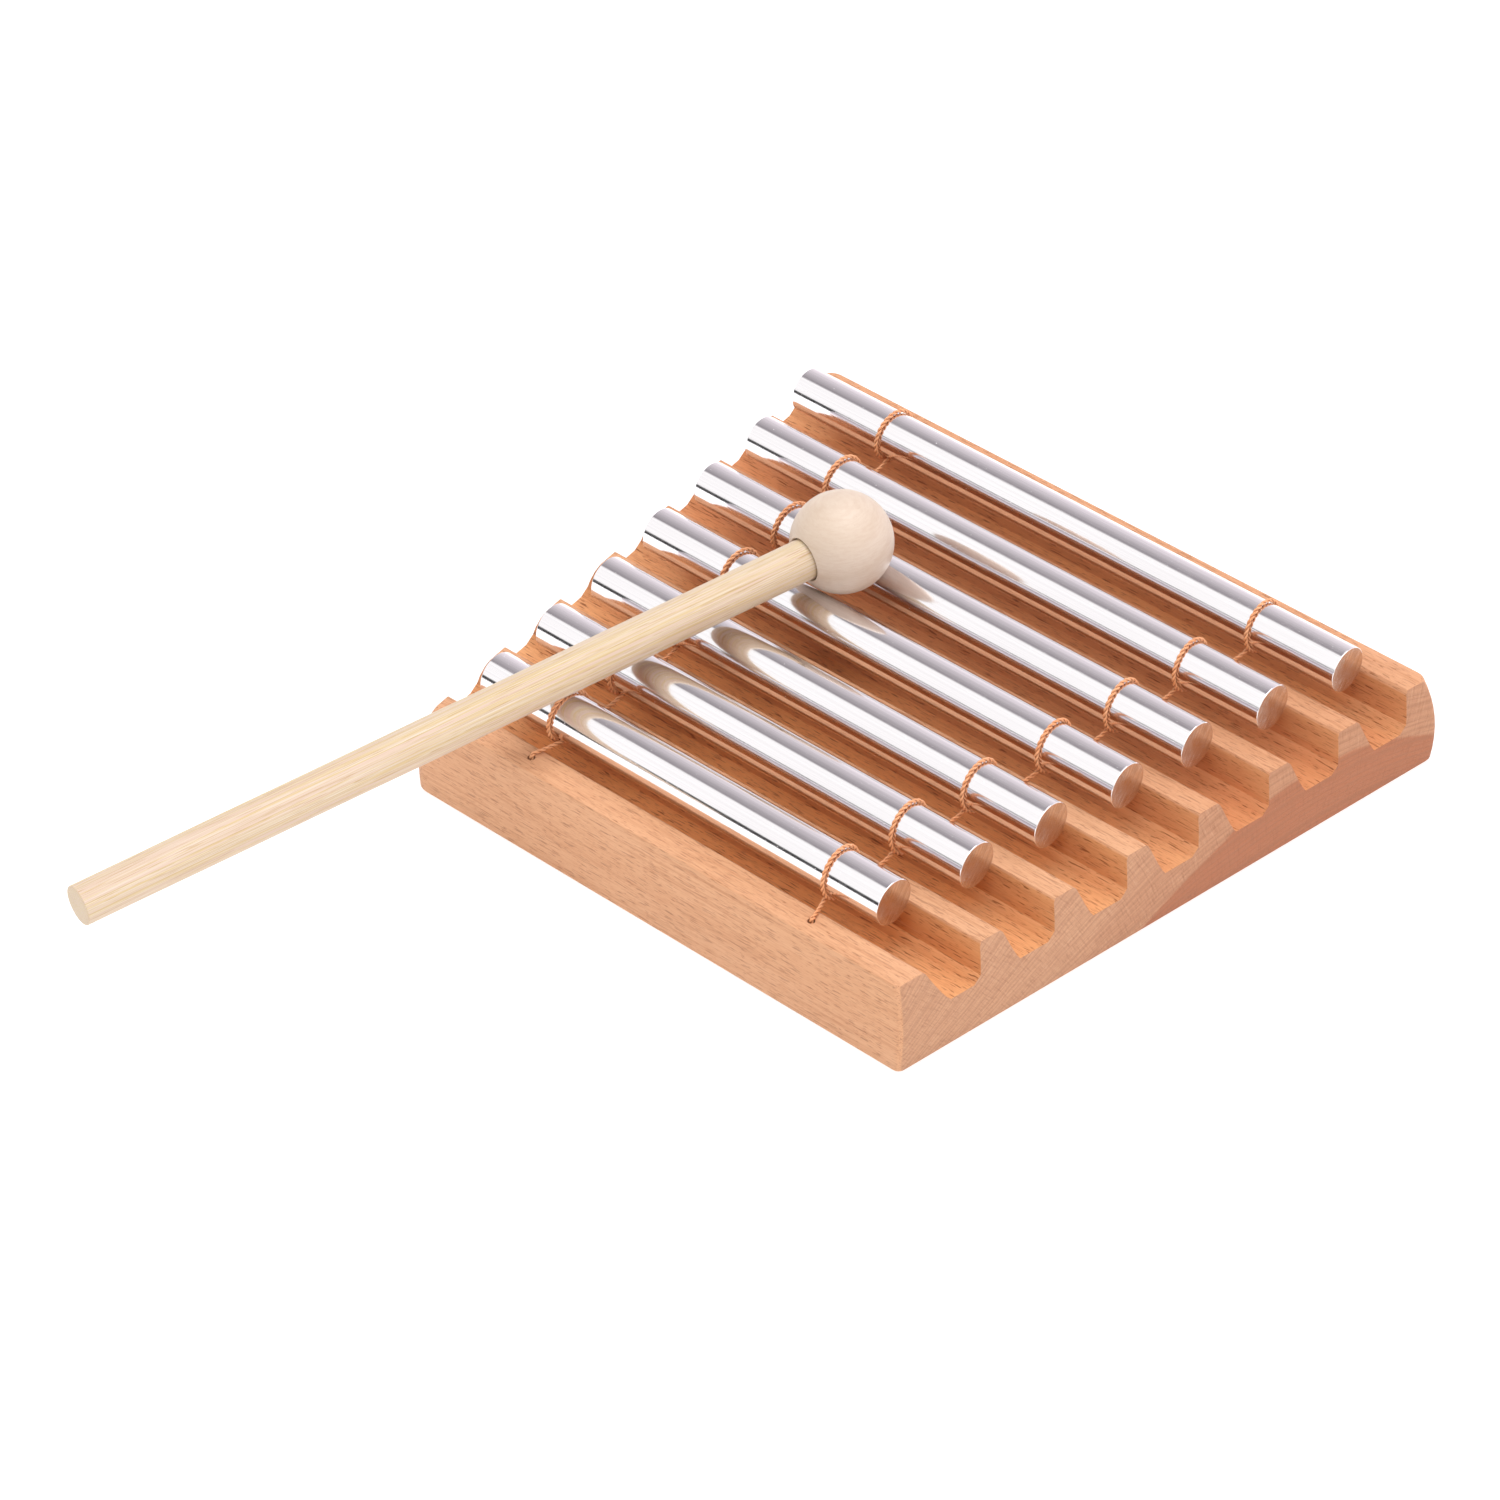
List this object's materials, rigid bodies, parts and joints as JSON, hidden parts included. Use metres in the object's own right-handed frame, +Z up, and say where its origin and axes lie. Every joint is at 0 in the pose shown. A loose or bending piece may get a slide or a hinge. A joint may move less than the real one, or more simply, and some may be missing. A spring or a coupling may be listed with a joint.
{
  "type": "glockenspiel",
  "caption": "Small table glockenspiel: solid round metal bars tied by two cords over a grooved trapezoid wooden block, with a ball-headed mallet.",
  "frame": {"origin": "centre of the wooden block's flat underside, where it stands on the table", "axes": "+X along the bars, +Y from the shortest bar at the front to the longest bar at the back, +Z up"},
  "size_m": [0.1711, 0.2417, 0.0516],
  "materials": {
    "beech": "planed and sanded beech, clear, satin",
    "bar_aluminium": "polished solid round rod with sawn ends",
    "waxed_cord": "two-ply twisted waxed cord",
    "head_wood": "turned pale hardwood, fine sanded",
    "stick_bamboo": "planed bamboo, fine straight grain"
  },
  "bodies": {
    "base_assembly": {"base": "beech", "cord_left": "waxed_cord", "cord_left_back_knot": "waxed_cord", "cord_left_front_knot": "waxed_cord", "cord_right": "waxed_cord", "cord_right_back_knot": "waxed_cord", "cord_right_front_knot": "waxed_cord"},
    "mallet": {"mallet_head": "head_wood", "mallet_stick": "stick_bamboo"},
    "tone_bar_b": {"tone_bar_b": "bar_aluminium"},
    "tone_bar_a": {"tone_bar_a": "bar_aluminium"},
    "tone_bar_g": {"tone_bar_g": "bar_aluminium"},
    "tone_bar_f": {"tone_bar_f": "bar_aluminium"},
    "tone_bar_e": {"tone_bar_e": "bar_aluminium"},
    "tone_bar_d": {"tone_bar_d": "bar_aluminium"},
    "tone_bar_c": {"tone_bar_c": "bar_aluminium"}
  },
  "joints": [
    {"name": "tone_bar_b_turn", "type": "hinge", "parent": "base_assembly", "child": "tone_bar_b", "pos_m": [-0.0007, -0.0589, 0.0277], "axis": [1, 0, 0], "continuous": true},
    {"name": "tone_bar_a_turn", "type": "hinge", "parent": "base_assembly", "child": "tone_bar_a", "pos_m": [0.0004, -0.04005, 0.0277], "axis": [1, 0, 0], "continuous": true},
    {"name": "tone_bar_g_turn", "type": "hinge", "parent": "base_assembly", "child": "tone_bar_g", "pos_m": [0.0008, -0.0214, 0.0277], "axis": [1, 0, 0], "continuous": true},
    {"name": "tone_bar_f_turn", "type": "hinge", "parent": "base_assembly", "child": "tone_bar_f", "pos_m": [0.0009, -0.00235, 0.0277], "axis": [1, 0, 0], "continuous": true},
    {"name": "tone_bar_e_turn", "type": "hinge", "parent": "base_assembly", "child": "tone_bar_e", "pos_m": [0.0007, 0.0164, 0.0277], "axis": [1, 0, 0], "continuous": true},
    {"name": "tone_bar_d_turn", "type": "hinge", "parent": "base_assembly", "child": "tone_bar_d", "pos_m": [0.0012, 0.03545, 0.0277], "axis": [1, 0, 0], "continuous": true},
    {"name": "tone_bar_c_turn", "type": "hinge", "parent": "base_assembly", "child": "tone_bar_c", "pos_m": [0.001, 0.0548, 0.0277], "axis": [1, 0, 0], "continuous": true},
    {"name": "mallet_lift", "type": "slide", "parent": "base_assembly", "child": "mallet", "axis": [0, 0, 1], "range_m": [0, 0.08]}
  ]
}
